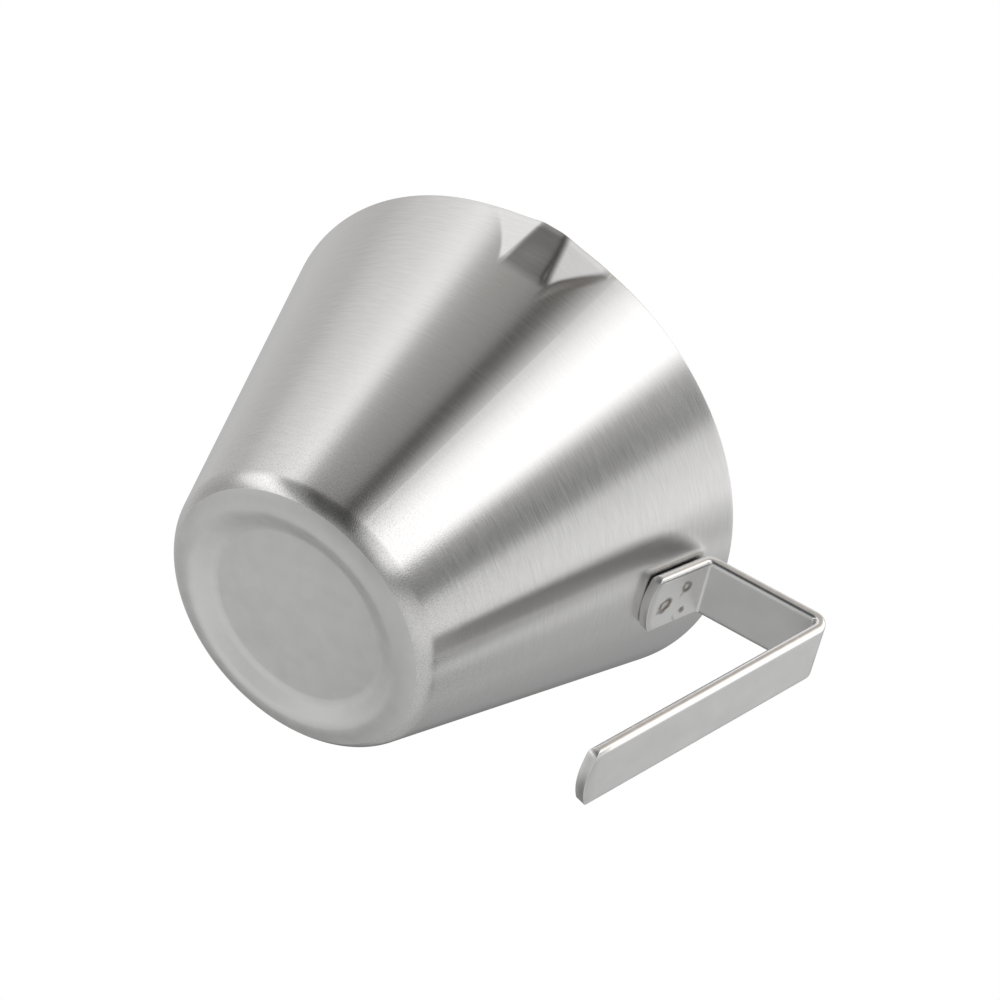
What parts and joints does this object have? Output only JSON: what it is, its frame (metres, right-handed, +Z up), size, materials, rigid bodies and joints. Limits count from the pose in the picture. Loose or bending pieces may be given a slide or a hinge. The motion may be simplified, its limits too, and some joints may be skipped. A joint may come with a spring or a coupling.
{
  "type": "deep drawn metal cup",
  "caption": "Deep drawn stainless steel cup with a conical wall, a pressed pouring spout and a folded strip handle, for measuring and pouring small amounts of liquid.",
  "frame": {"origin": "middle of the ring that the cup stands on, on the cup's own axis", "axes": "+Z up the cup's axis towards its mouth, +X towards the spout, handle close to +Y"},
  "size_m": [0.0771, 0.0939, 0.05],
  "materials": {
    "cup_steel": "satin, brushed round the wall, matt underneath",
    "handle_steel": "satin faces with smooth rounded edges"
  },
  "bodies": {
    "root": {"cup": "cup_steel", "handle": "handle_steel"}
  },
  "joints": []
}
